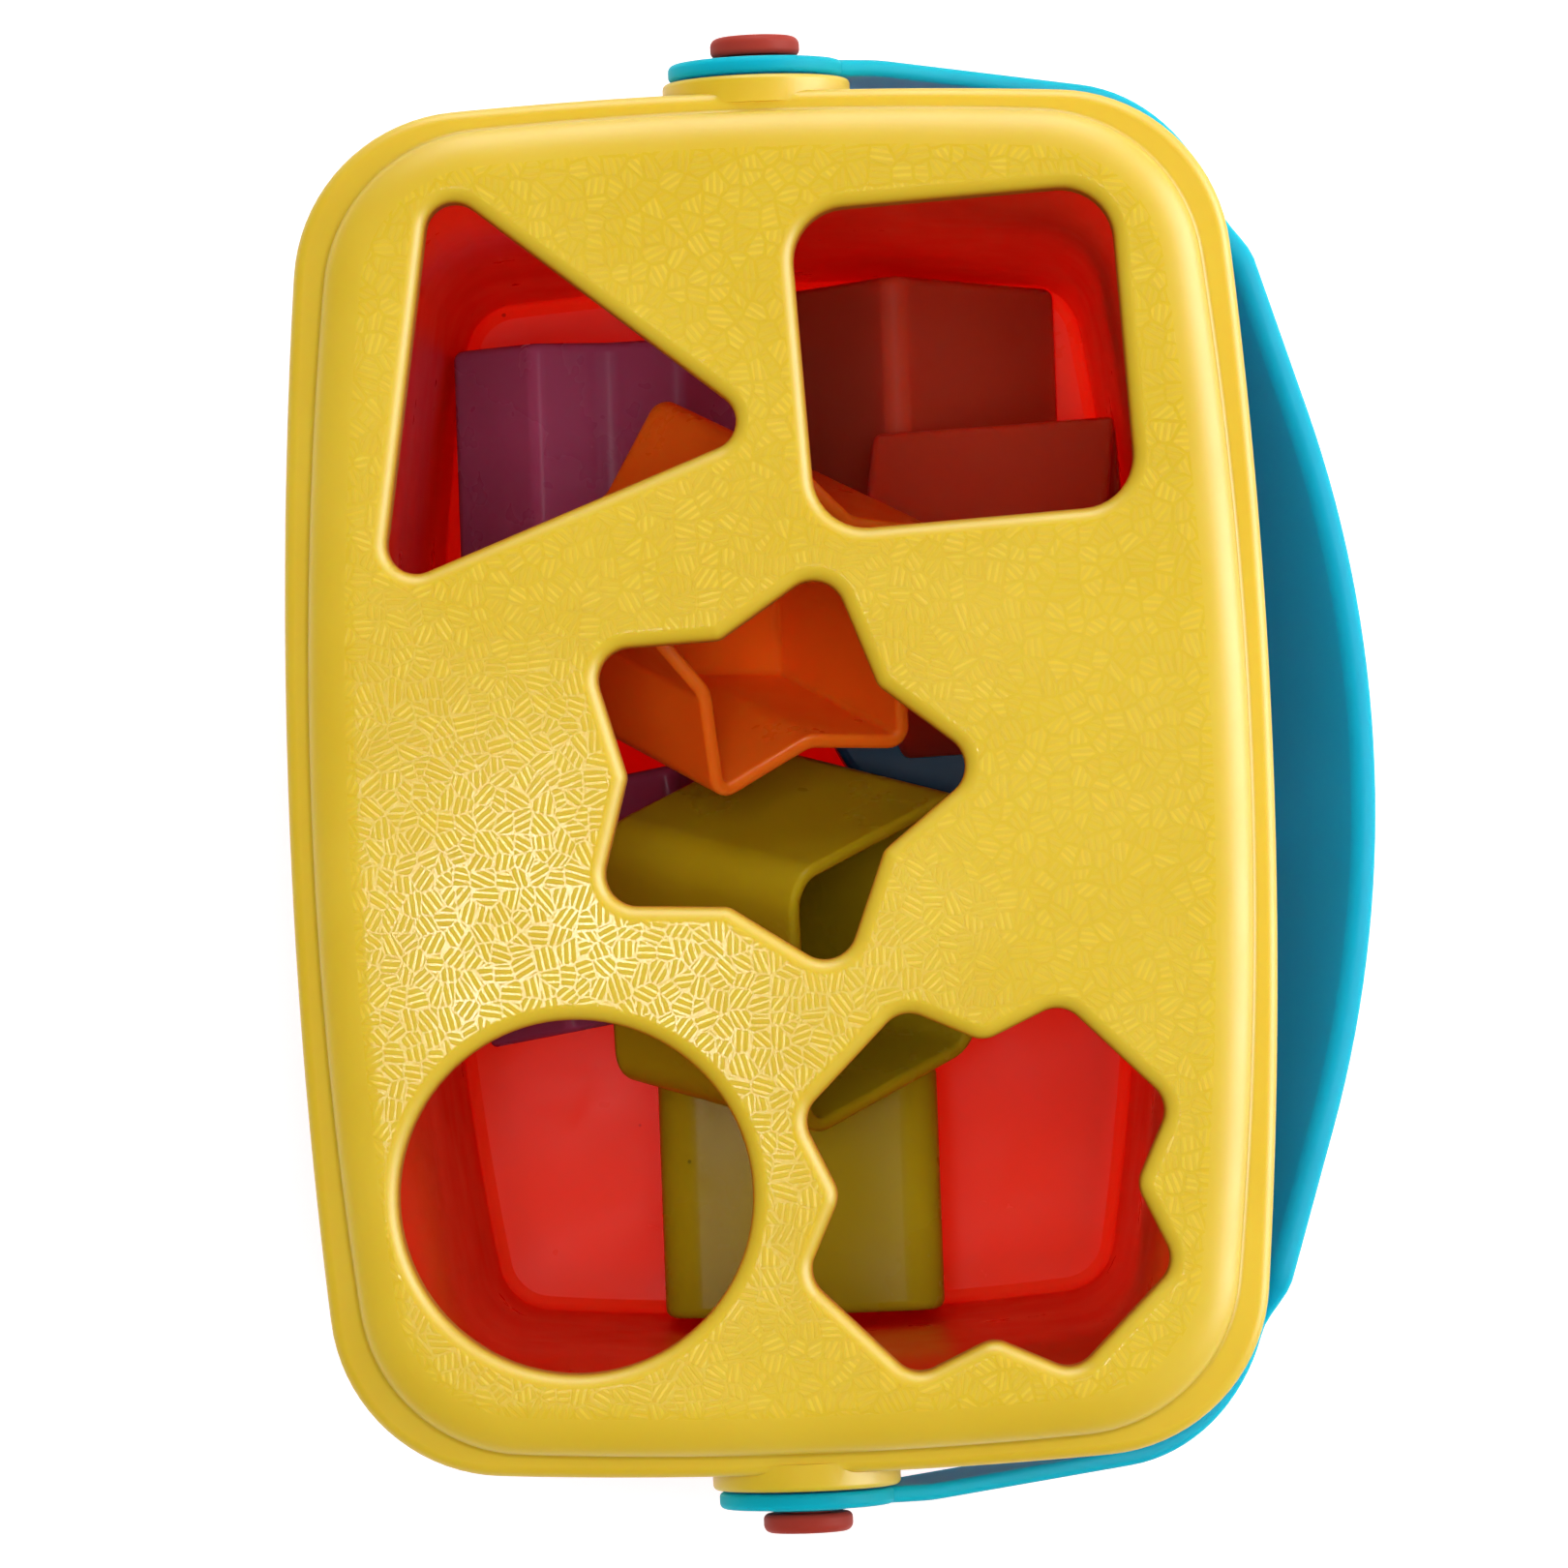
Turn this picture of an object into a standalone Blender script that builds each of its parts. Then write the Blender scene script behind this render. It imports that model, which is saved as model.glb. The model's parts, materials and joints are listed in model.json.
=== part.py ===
"""Shape sorter: a tub, a lid with five shaped holes, a carrying handle on two snap pins, eight hollow blocks.

Metres, +Z up. The origin is the centre of the tub's underside, +Y runs along the lid's longest side, and
the folded handle hangs at +X. The blocks lie in the closed tub as a loose pile.
"""

import math

import bmesh
import bpy
from mathutils import Euler, Matrix, Vector

MM = 0.001

# Lid. Outlines are (half width, half length, long side's bow radius, short side's bow radius, corner).
LID_TOP = 134.0 * MM
LID_THICKNESS = 2.5 * MM
LID_EDGE_ROUND = 3.5 * MM
FLANGE_TOP = 127.7 * MM
FLANGE_UNDERSIDE = 125.3 * MM
FLANGE_ROUND = 1.4 * MM
SKIRT_BOTTOM = 118.5 * MM
SKIRT_WALL = 1.4 * MM
PLUG_BOTTOM = 121.0 * MM
PLUG_WALL = 1.5 * MM
FLANGE_OUTLINE = (64.6 * MM, 90.7 * MM, 750 * MM, 660 * MM, 23 * MM)
PLATEAU_OUTLINE = (61.4 * MM, 87.8 * MM, 560 * MM, 550 * MM, 22 * MM)
PLUG_OUTLINE = (59.9 * MM, 85.9 * MM, 620 * MM, 600 * MM, 20 * MM)

# Holes: centre and turn on the lid, then the size of each sharp-cornered shape and its fillets.
HOLE_EDGE_ROUND = 1.8 * MM
COLLAR_WALL = 1.8 * MM
COLLAR_BOTTOM = 127.5 * MM
HOLES = {
    "triangle": (Vector((-31.4, 51.1)) * MM, math.radians(-9)),
    "square": (Vector((25.9, 54.4)) * MM, math.radians(3)),
    "star": (Vector((-1.6, 1.3)) * MM, 0.0),
    "circle": (Vector((-28.6, -53.2)) * MM, 0.0),
    "cross": (Vector((25.2, -54.2)) * MM, 0.0),
}
TRIANGLE_SIDE = 54.4 * MM
TRIANGLE_FILLET = 3.8 * MM
SQUARE_SIDE = 42.0 * MM
SQUARE_FILLET = 7.0 * MM
STAR_TIP = 28.3 * MM
STAR_NOTCH = 18.3 * MM
STAR_TIP_FILLET = 4.2 * MM
STAR_NOTCH_FILLET = 2.4 * MM
CIRCLE_RADIUS = 23.1 * MM
CROSS_LOBE = 26.3 * MM
CROSS_LOBE_TURN = math.radians(23.5)
CROSS_NOTCH = 19.3 * MM
CROSS_LOBE_FILLET = 4.0 * MM
CROSS_NOTCH_FILLET = 3.8 * MM

# Tub: inner profile as (z, half width, half length, long bow, short bow, corner), floor to rim.
TUB_WALL = 2.0 * MM
TUB_FLOOR = 2.5 * MM
TUB_RIM = 125.0 * MM
TUB_PROFILE = (
    (2.5, 48.2, 72.4, 385, 400, 6.0),
    (3.2, 49.6, 73.9, 385, 400, 7.4),
    (5.0, 50.3, 74.6, 385, 400, 8.0),
    (84.0, 51.6, 76.2, 400, 420, 9.5),
    (98.0, 52.4, 77.2, 420, 440, 10.5),
    (107.0, 54.6, 79.8, 480, 500, 13.0),
    (114.5, 58.2, 83.6, 580, 580, 17.0),
    (119.5, 60.5, 86.3, 650, 620, 19.5),
    (125.0, 60.9, 86.9, 660, 630, 20.0),
)

# Pivots, the handle's hubs and the pins along +Y and -Y.
PIVOT_HEIGHT = 116.0 * MM
EAR_RADIUS = 12.4 * MM
EAR_INNER = 89.3 * MM
EAR_OUTER = 92.9 * MM
HUB_RADIUS = 11.6 * MM
HUB_INNER = 93.2 * MM
HUB_OUTER = 95.4 * MM
BOSS_RADIUS = 5.35 * MM
BOSS_OUTER = 95.9 * MM
PIN_BORE_RADIUS = 3.3 * MM
PIN_RADIUS = 3.0 * MM
PIN_HEAD_RADIUS = 5.9 * MM
PIN_HEAD_INNER = 96.2 * MM
PIN_HEAD_OUTER = 98.8 * MM
PIN_HEAD_ROUND = 0.9 * MM
PIN_SNAP_RADIUS = 4.2 * MM
PIN_SNAP_OUTER = 90.3 * MM
PIN_END = 89.5 * MM
SNAP_RECESS_RADIUS = 4.8 * MM
SNAP_RECESS_OUTER = 90.6 * MM

# Handle: an arch in its own plane, u away from the pivots and v along Y, hanging below the horizontal.
HANDLE_HANG = math.radians(30)
HANDLE_ARM_BEND = (15.0 * MM, 95.4 * MM)
HANDLE_SHOULDER = (61.8 * MM, 91.2 * MM)
HANDLE_PEAK = 95.7 * MM
SHOULDER_FILLET = 25 * MM
PEAK_FILLET = 140 * MM
ARM_THICKNESS = 2.2 * MM
GRIP_THICKNESS = 3.8 * MM
ARM_WIDTH = 15 * MM
GRIP_WIDTH = 24 * MM
GRIP_STARTS = 76 * MM
GRIP_FULL = 69 * MM

# Blocks: shape, centre, the way the open end faces and the way the first tip or side points.
BLOCK_DEPTH = 34.0 * MM
BLOCK_WALL = 2.0 * MM
BLOCK_ROUND = 1.5 * MM
BLOCK_LIP = 0.4 * MM
BLOCK_CLEARANCE = 1.4 * MM
BLOCKS = {
    "block_square_a": ("square", (-0.1, -56.2, 22.6), (0, 1, 0), (1, 0, 0)),
    "block_square_b": ("square", (0.0, -20.2, 68.5), (0.776, -0.236, 0.585), (0.631, 0.313, -0.710)),
    "block_cross_a": ("cross", (-22.9, 47.1, 25.2), (0, -1, 0), (1, 0, 0)),
    "block_cross_b": ("cross", (-24.0, -14.0, 25.2), (0.16, -1, 0), (1, 0.16, 0)),
    "block_star": ("star", (-5.3, 25.5, 90.4), (0.497, -0.300, 0.814), (-0.466, -0.884, -0.041)),
    "block_triangle_a": ("triangle", (17.5, 54.9, 17.4), (0, -1, 0), (0, 0, 1)),
    "block_triangle_b": ("triangle", (30.2, 25.0, 58.0), (1, 0.03, 0.14), (-0.14, -0.2, 1)),
    "block_circle": ("circle", (26.6, 15.5, 20.0), (0, 0, -1), (1, 0, 0)),
}

COLORS = {
    "lid_yellow": (0.80, 0.56, 0.09, 1.0),
    "tub_red": (0.62, 0.03, 0.012, 1.0),
    "handle_blue": (0.02, 0.30, 0.42, 1.0),
    "pin_red": (0.62, 0.09, 0.05, 1.0),
    "square_green": (0.16, 0.17, 0.02, 1.0),
    "cross_purple": (0.16, 0.03, 0.10, 1.0),
    "star_orange": (0.72, 0.13, 0.01, 1.0),
    "triangle_red": (0.55, 0.03, 0.015, 1.0),
    "circle_blue": (0.02, 0.14, 0.30, 1.0),
}
BLOCK_MATERIALS = {
    "square": "square_green",
    "cross": "cross_purple",
    "star": "star_orange",
    "triangle": "triangle_red",
    "circle": "circle_blue",
}


def clear_scene():
    for obj in list(bpy.data.objects):
        bpy.data.objects.remove(obj, do_unlink=True)


def plastic(name):
    """The named colour as a moulded plastic, made once."""
    found = bpy.data.materials.get(name)
    if found:
        return found
    material = bpy.data.materials.new(name)
    material.use_nodes = True
    shader = material.node_tree.nodes["Principled BSDF"]
    shader.inputs["Base Color"].default_value = COLORS[name]
    shader.inputs["Roughness"].default_value = 0.32
    shader.inputs["Metallic"].default_value = 0.0
    return material


def rounded(corners, fillets, steps=4):
    """A closed outline with each sharp corner replaced by an arc of its fillet radius."""
    outline = []
    count = len(corners)
    for i, corner in enumerate(corners):
        before = (corners[i - 1] - corner).normalized()
        after = (corners[(i + 1) % count] - corner).normalized()
        half_angle = before.angle(after) / 2
        reach = fillets[i] / math.tan(half_angle)
        start = corner + before * reach
        end = corner + after * reach
        centre = corner + (before + after).normalized() * (fillets[i] / math.sin(half_angle))
        for step in range(steps + 1):
            share = step / steps
            along = start.lerp(end, share) - centre
            outline.append(centre + along.normalized() * fillets[i])
    return outline


def offset_corners(corners, grow):
    """The sharp corners of the polygon whose sides lie `grow` further out. Corners run anticlockwise."""
    moved = []
    count = len(corners)
    for i, corner in enumerate(corners):
        before = (corner - corners[i - 1]).normalized()
        after = (corners[(i + 1) % count] - corner).normalized()
        out_before = Vector((before.y, -before.x))
        out_after = Vector((after.y, -after.x))
        middle = (out_before + out_after).normalized()
        moved.append(corner + middle * (grow / middle.dot(out_before)))
    return moved


def polar(radius, angle):
    return Vector((radius * math.cos(angle), radius * math.sin(angle)))


def shape_outline(shape, grow=0.0, steps=3):
    """A hole's outline about its own centre, grown outwards. Blocks use the same shapes, shrunk."""
    if shape == "circle":
        return [polar(CIRCLE_RADIUS + grow, math.tau * i / 30) for i in range(30)]
    if shape == "triangle":
        corners = [polar(TRIANGLE_SIDE / math.sqrt(3), math.tau * i / 3) for i in range(3)]
        fillets = [TRIANGLE_FILLET] * 3
        hollow = [False] * 3
    elif shape == "square":
        corners = [polar(SQUARE_SIDE / math.sqrt(2), math.pi / 4 + math.tau * i / 4) for i in range(4)]
        fillets = [SQUARE_FILLET] * 4
        hollow = [False] * 4
    elif shape == "star":
        corners, fillets, hollow = [], [], []
        for i in range(5):
            corners += [polar(STAR_TIP, math.tau * i / 5), polar(STAR_NOTCH, math.tau * (i + 0.5) / 5)]
            fillets += [STAR_TIP_FILLET, STAR_NOTCH_FILLET]
            hollow += [False, True]
    else:
        corners, fillets, hollow = [], [], []
        for i in range(4):
            axis = math.tau * i / 4
            corners += [
                polar(CROSS_LOBE, axis - CROSS_LOBE_TURN),
                polar(CROSS_NOTCH, axis),
                polar(CROSS_LOBE, axis + CROSS_LOBE_TURN),
            ]
            fillets += [CROSS_LOBE_FILLET, CROSS_NOTCH_FILLET, CROSS_LOBE_FILLET]
            hollow += [False, True, False]
    radii = [max(r - grow, 0.4 * MM) if inward else r + grow for r, inward in zip(fillets, hollow)]
    return rounded(offset_corners(corners, grow), radii, steps)


def bowed_rectangle(half_x, half_y, bow_x, bow_y, corner, side_steps=4, corner_steps=5):
    """A rectangle whose sides are shallow arcs, with corner arcs tangent to them, from +X anticlockwise."""
    centre_x = Vector((half_x - bow_x, 0))
    centre_y = Vector((0, half_y - bow_y))
    reach_x = bow_x - corner
    reach_y = bow_y - corner
    between = centre_y - centre_x
    gap = between.length
    along = (reach_x**2 - reach_y**2 + gap**2) / (2 * gap)
    across = math.sqrt(reach_x**2 - along**2)
    unit = between.normalized()
    hub = centre_x + unit * along + Vector((-unit.y, unit.x)) * across
    angle_x = math.atan2(hub.y, hub.x - centre_x.x)
    angle_y = math.atan2(hub.y - centre_y.y, hub.x)
    quarter = [centre_x + polar(bow_x, angle_x * i / side_steps) for i in range(side_steps)]
    for i in range(corner_steps + 1):
        quarter.append(hub + polar(corner, angle_x + (angle_y - angle_x) * i / corner_steps))
    for i in range(1, side_steps + 1):
        quarter.append(centre_y + polar(bow_y, angle_y + (math.pi / 2 - angle_y) * i / side_steps))
    outline = list(quarter)
    outline += [Vector((-p.x, p.y)) for p in reversed(quarter[:-1])]
    outline += [Vector((-p.x, -p.y)) for p in quarter[1:]]
    outline += [Vector((p.x, -p.y)) for p in reversed(quarter[1:-1])]
    return outline


def inset(outline, distance):
    """The same bowed rectangle, `distance` smaller all round."""
    half_x, half_y, bow_x, bow_y, corner = outline
    return (half_x - distance, half_y - distance, bow_x - distance, bow_y - distance, corner - distance)


def ring(outline, height):
    return [Vector((p.x, p.y, height)) for p in outline]


def loft(rings):
    """A closed solid through rings of equal counts, capped at both ends."""
    bm = bmesh.new()
    rows = [[bm.verts.new(point) for point in points] for points in rings]
    count = len(rows[0])
    for low, high in zip(rows, rows[1:]):
        for i in range(count):
            j = (i + 1) % count
            bm.faces.new((low[i], low[j], high[j], high[i]))
    bm.faces.new(list(reversed(rows[0])))
    bm.faces.new(rows[-1])
    bmesh.ops.recalc_face_normals(bm, faces=bm.faces)
    return bm


def turned(profile, steps):
    """A solid turned about local Z from a profile of (radius, height) points, capped at both ends."""
    rings = []
    for radius, height in profile:
        rings.append([Vector((*polar(radius, math.tau * i / steps), height)) for i in range(steps)])
    return loft(rings)


def new_object(name, bm, material=None, smooth_angle=40):
    mesh = bpy.data.meshes.new(name)
    bm.to_mesh(mesh)
    bm.free()
    obj = bpy.data.objects.new(name, mesh)
    bpy.context.scene.collection.objects.link(obj)
    if material:
        mesh.materials.append(plastic(material))
    mesh.shade_smooth()
    mesh.set_sharp_from_angle(angle=math.radians(smooth_angle))
    return obj


def helper(name, bm):
    """A solid that only takes part in Booleans."""
    obj = new_object(name, bm)
    obj.hide_render = True
    obj.display_type = "WIRE"
    return obj


def combine(obj, other, operation):
    modifier = obj.modifiers.new(f"{operation.lower()} {other.name}", "BOOLEAN")
    modifier.operation = operation
    modifier.solver = "EXACT"
    modifier.object = other


def along_y(side, height):
    """Turns local +Z to +Y or -Y, with local z = 0 on the lid's middle plane."""
    turn = Matrix.Rotation(math.radians(-90 * side), 4, "X")
    return Matrix.Translation((0, 0, height)) @ turn


def arc(centre_radius, centre_height, radius, start, end, steps):
    """Profile points (distance, height) on an arc, angles in degrees from the outward direction."""
    points = []
    for i in range(steps + 1):
        angle = math.radians(start + (end - start) * i / steps)
        points.append((centre_radius + radius * math.cos(angle), centre_height + radius * math.sin(angle)))
    return points


def lid_shell():
    """The lid without ears or holes: skirt, flange, raised plateau and the plug ring underneath."""
    rings = [ring(bowed_rectangle(*inset(FLANGE_OUTLINE, 0)), SKIRT_BOTTOM)]
    for distance, height in arc(-FLANGE_ROUND, FLANGE_TOP - FLANGE_ROUND, FLANGE_ROUND, 0, 90, 2):
        rings.append(ring(bowed_rectangle(*inset(FLANGE_OUTLINE, -distance)), height))
    rings.append(ring(bowed_rectangle(*PLATEAU_OUTLINE), FLANGE_TOP))
    for distance, height in arc(-LID_EDGE_ROUND, LID_TOP - LID_EDGE_ROUND, LID_EDGE_ROUND, 0, 90, 3):
        rings.append(ring(bowed_rectangle(*inset(PLATEAU_OUTLINE, -distance)), height))
    plug_inner = inset(PLUG_OUTLINE, PLUG_WALL)
    skirt_inner = inset(FLANGE_OUTLINE, SKIRT_WALL)
    under = (
        (inset(plug_inner, 2 * MM), LID_TOP - LID_THICKNESS),
        (plug_inner, LID_TOP - LID_THICKNESS - 2 * MM),
        (plug_inner, PLUG_BOTTOM),
        (PLUG_OUTLINE, PLUG_BOTTOM),
        (PLUG_OUTLINE, FLANGE_UNDERSIDE),
        (skirt_inner, FLANGE_UNDERSIDE),
        (skirt_inner, SKIRT_BOTTOM),
    )
    inner = [ring(bowed_rectangle(*outline), height) for outline, height in reversed(under)]
    # The surface runs from the underside's cap, down and out round the skirt, and up to the top's cap.
    return loft(list(reversed(inner)) + rings)


def placed(outline, shape):
    centre, turn = HOLES[shape]
    spin = Matrix.Rotation(turn, 2)
    return [centre + spin @ point for point in outline]


def hole_cutter(shape):
    """A hole with a rounded upper edge, running right through the plate and its collar."""
    edge = HOLE_EDGE_ROUND
    rings = [ring(placed(shape_outline(shape), shape), COLLAR_BOTTOM - 1 * MM)]
    for distance, height in arc(edge, LID_TOP - edge, -edge, 0, -90, 2):
        rings.append(ring(placed(shape_outline(shape, distance), shape), height))
    rings.append(ring(placed(shape_outline(shape, edge), shape), LID_TOP + 1 * MM))
    return loft(rings)


def hole_collar(shape):
    outline = placed(shape_outline(shape, COLLAR_WALL), shape)
    return loft([ring(outline, COLLAR_BOTTOM), ring(outline, LID_TOP - LID_THICKNESS / 2)])


def build_lid():
    lid = new_object("lid", lid_shell(), "lid_yellow")
    for shape in HOLES:
        combine(lid, helper(f"collar {shape}", hole_collar(shape)), "UNION")
    for side, name in ((1, "back"), (-1, "front")):
        ear = turned([(EAR_RADIUS, EAR_INNER), (EAR_RADIUS, EAR_OUTER - 0.6 * MM),
                      (EAR_RADIUS - 0.6 * MM, EAR_OUTER)], 32)
        ear.transform(along_y(side, PIVOT_HEIGHT))
        combine(lid, helper(f"ear {name}", ear), "UNION")
    for shape in HOLES:
        combine(lid, helper(f"hole {shape}", hole_cutter(shape)), "DIFFERENCE")
    for side, name in ((1, "back"), (-1, "front")):
        bore = turned([(SNAP_RECESS_RADIUS, EAR_INNER - 0.2 * MM), (SNAP_RECESS_RADIUS, SNAP_RECESS_OUTER),
                       (PIN_BORE_RADIUS, SNAP_RECESS_OUTER), (PIN_BORE_RADIUS, EAR_OUTER + 1 * MM)], 20)
        bore.transform(along_y(side, PIVOT_HEIGHT))
        combine(lid, helper(f"ear bore {name}", bore), "DIFFERENCE")
    return lid


def build_tub():
    """The tub: a narrow body with nearly upright walls that flares to a wide rim under the lid."""
    inner, outer = [], []
    for height, half_x, half_y, bow_x, bow_y, corner in TUB_PROFILE:
        outline = tuple(value * MM for value in (half_x, half_y, bow_x, bow_y, corner))
        inner.append(ring(bowed_rectangle(*outline), height * MM))
        outer.append(ring(bowed_rectangle(*inset(outline, -TUB_WALL)), height * MM))
    floor = tuple(value * MM for value in TUB_PROFILE[0][1:])
    foot = ring(bowed_rectangle(*inset(floor, -0.8 * MM)), 0)
    # From the floor's upper face up the inside, over the rim and down the outside to the foot.
    return new_object("tub", loft(inner + list(reversed(outer[1:])) + [foot]), "tub_red")


def rounded_path(points, fillets, steps):
    """An open path with its inner corners replaced by arcs. `fillets` and `steps` are one per inner corner."""
    path = [points[0]]
    for i in range(1, len(points) - 1):
        before = (points[i - 1] - points[i]).normalized()
        after = (points[i + 1] - points[i]).normalized()
        half_angle = before.angle(after) / 2
        radius = fillets[i - 1]
        centre = points[i] + (before + after).normalized() * (radius / math.sin(half_angle))
        start = points[i] + before * (radius / math.tan(half_angle)) - centre
        sweep = start.angle_signed(points[i] + after * (radius / math.tan(half_angle)) - centre)
        for step in range(steps[i - 1] + 1):
            path.append(centre + Matrix.Rotation(-sweep * step / steps[i - 1], 2) @ start)
    path.append(points[-1])
    return path


def between(value, start, end, at_start, at_end):
    """A straight ramp from at_start to at_end as value goes from start to end."""
    share = min(max((value - start) / (end - start), 0), 1)
    return at_start + (at_end - at_start) * share


def handle_section(point, inward):
    """The band's cross-section at one station: u, v in the arch's plane and its width across it."""
    side = abs(point.y)
    thickness = between(side, GRIP_STARTS, GRIP_FULL, ARM_THICKNESS, GRIP_THICKNESS)
    width = between(side, GRIP_STARTS, GRIP_FULL, ARM_WIDTH, GRIP_WIDTH)
    cut = thickness * 0.28
    corners = (
        (0, -width / 2 + cut), (0, width / 2 - cut), (cut, width / 2), (thickness - cut, width / 2),
        (thickness, width / 2 - cut), (thickness, -width / 2 + cut), (thickness - cut, -width / 2),
        (cut, -width / 2),
    )
    return [Vector((*(point + inward * depth), across)) for depth, across in corners]


def build_handle():
    """The arch, with a round hub and boss at each end. Its origin is on the pivots' axis."""
    half = [Vector((4 * MM, HUB_OUTER - 0.1 * MM)), Vector(HANDLE_ARM_BEND), Vector(HANDLE_SHOULDER)]
    points = half + [Vector((HANDLE_PEAK, 0))] + [Vector((p.x, -p.y)) for p in reversed(half)]
    fillets = [30 * MM, SHOULDER_FILLET, PEAK_FILLET, SHOULDER_FILLET, 30 * MM]
    path = rounded_path(points, fillets, [1, 6, 12, 6, 1])
    path = with_grip_ends(path)
    rings = []
    for i, point in enumerate(path):
        ahead = (path[min(i + 1, len(path) - 1)] - path[max(i - 1, 0)]).normalized()
        rings.append(handle_section(point, Vector((ahead.y, -ahead.x))))
    handle = new_object("handle", loft(rings), "handle_blue")
    handle.location = (0, 0, PIVOT_HEIGHT)
    handle.rotation_euler = Euler((0, HANDLE_HANG, 0))
    for side, name in ((1, "back"), (-1, "front")):
        hub = turned([(HUB_RADIUS - 0.5 * MM, HUB_INNER), (HUB_RADIUS, HUB_INNER + 0.5 * MM),
                      (HUB_RADIUS, HUB_OUTER - 0.7 * MM), (HUB_RADIUS - 0.7 * MM, HUB_OUTER),
                      (BOSS_RADIUS, HUB_OUTER), (BOSS_RADIUS, BOSS_OUTER)], 28)
        hub.transform(along_y(side, PIVOT_HEIGHT))
        combine(handle, helper(f"hub {name}", hub), "UNION")
    for side, name in ((1, "back"), (-1, "front")):
        bore = turned([(PIN_BORE_RADIUS, HUB_INNER - 1 * MM), (PIN_BORE_RADIUS, BOSS_OUTER + 1 * MM)], 20)
        bore.transform(along_y(side, PIVOT_HEIGHT))
        combine(handle, helper(f"hub bore {name}", bore), "DIFFERENCE")
    return handle


def with_grip_ends(path):
    """Adds the stations where the band widens from arm to grip, on whichever segment they fall."""
    full = [path[0]]
    for start, end in zip(path, path[1:]):
        marks = [sign * edge for sign in (1, -1) for edge in (GRIP_STARTS, GRIP_FULL)]
        shares = sorted((mark - start.y) / (end.y - start.y) for mark in marks if start.y != end.y)
        full += [start.lerp(end, share) for share in shares if 0.02 < share < 0.98]
        full.append(end)
    return full


def build_pins():
    """Two snap pins: a round head outside the hub, a shank through hub and ear, a snap behind the ear."""
    profile = [
        (PIN_RADIUS, PIN_END), (PIN_SNAP_RADIUS, PIN_SNAP_OUTER - 0.3 * MM),
        (PIN_SNAP_RADIUS, PIN_SNAP_OUTER), (PIN_RADIUS, PIN_SNAP_OUTER), (PIN_RADIUS, PIN_HEAD_INNER),
        (PIN_HEAD_RADIUS, PIN_HEAD_INNER),
    ]
    edge = PIN_HEAD_ROUND
    profile += arc(PIN_HEAD_RADIUS - edge, PIN_HEAD_OUTER - edge, edge, 0, 90, 2)
    for side, name in ((1, "pin_back"), (-1, "pin_front")):
        pin = turned(profile, 20)
        pin.transform(along_y(side, PIVOT_HEIGHT))
        new_object(name, pin, "pin_red")


def block_solid(shape):
    """A hollow block about its own centre, closed at -Z and open at +Z."""
    outer = -BLOCK_CLEARANCE
    inner = outer - BLOCK_WALL
    low, high = -BLOCK_DEPTH / 2, BLOCK_DEPTH / 2
    stations = [(outer + distance, low + BLOCK_ROUND - height)
                for distance, height in arc(-BLOCK_ROUND, 0, BLOCK_ROUND, 90, 0, 2)]
    stations += [
        (outer, high - BLOCK_LIP), (outer - BLOCK_LIP, high), (inner + BLOCK_LIP, high),
        (inner, high - BLOCK_LIP), (inner, low + BLOCK_WALL + BLOCK_LIP), (inner - BLOCK_LIP, low + BLOCK_WALL),
    ]
    return loft([ring(shape_outline(shape, grow, 2), height) for grow, height in stations])


def build_blocks():
    for name, (shape, centre, opening, tip) in BLOCKS.items():
        block = new_object(name, block_solid(shape), BLOCK_MATERIALS[shape])
        local_z = Vector(opening).normalized()
        local_y = local_z.cross(Vector(tip)).normalized()
        local_x = local_y.cross(local_z)
        turn = Matrix((local_x, local_y, local_z)).transposed().to_4x4()
        block.matrix_world = Matrix.Translation(Vector(centre) * MM) @ turn


clear_scene()
build_tub()
build_lid()
build_handle()
build_pins()
build_blocks()
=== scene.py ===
"""Looks for the shape sorter: every CAD node is replaced by a finely modelled piece with its own plastic.

Metres, +Z up, in the CAD frame: the origin is the centre of the tub's underside, +Y runs along the lid's
longest side and the folded handle hangs at +X.
"""

import json
import math

import bmesh
import bpy
from mathutils import Matrix, Vector


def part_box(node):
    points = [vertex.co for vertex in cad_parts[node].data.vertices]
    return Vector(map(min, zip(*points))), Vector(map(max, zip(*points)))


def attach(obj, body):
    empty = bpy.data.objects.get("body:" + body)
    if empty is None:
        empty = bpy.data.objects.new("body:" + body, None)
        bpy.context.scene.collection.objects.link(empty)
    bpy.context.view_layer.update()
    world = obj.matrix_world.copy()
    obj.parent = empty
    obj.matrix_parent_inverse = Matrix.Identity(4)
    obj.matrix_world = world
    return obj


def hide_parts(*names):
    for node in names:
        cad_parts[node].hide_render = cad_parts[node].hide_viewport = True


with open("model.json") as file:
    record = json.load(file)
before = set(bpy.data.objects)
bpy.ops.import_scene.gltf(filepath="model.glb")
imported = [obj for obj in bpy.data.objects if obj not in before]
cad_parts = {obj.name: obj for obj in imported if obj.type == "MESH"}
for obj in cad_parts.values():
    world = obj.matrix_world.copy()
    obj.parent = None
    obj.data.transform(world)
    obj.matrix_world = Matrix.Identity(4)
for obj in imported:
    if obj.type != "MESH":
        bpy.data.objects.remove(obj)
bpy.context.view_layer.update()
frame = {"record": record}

MM = 0.001

# Heights and places that the frame gives.
TUB_LOW, TUB_HIGH = (Vector(corner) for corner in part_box("tub"))
LID_LOW, LID_HIGH = (Vector(corner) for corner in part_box("lid"))
SWING = next(j for j in frame["record"]["behaviour"]["joints"] if j["name"] == "handle_swing")
PIVOT_HEIGHT = SWING["pos_m"][2]
LID_TOP = LID_HIGH.z
TUB_RIM = TUB_HIGH.z

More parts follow.
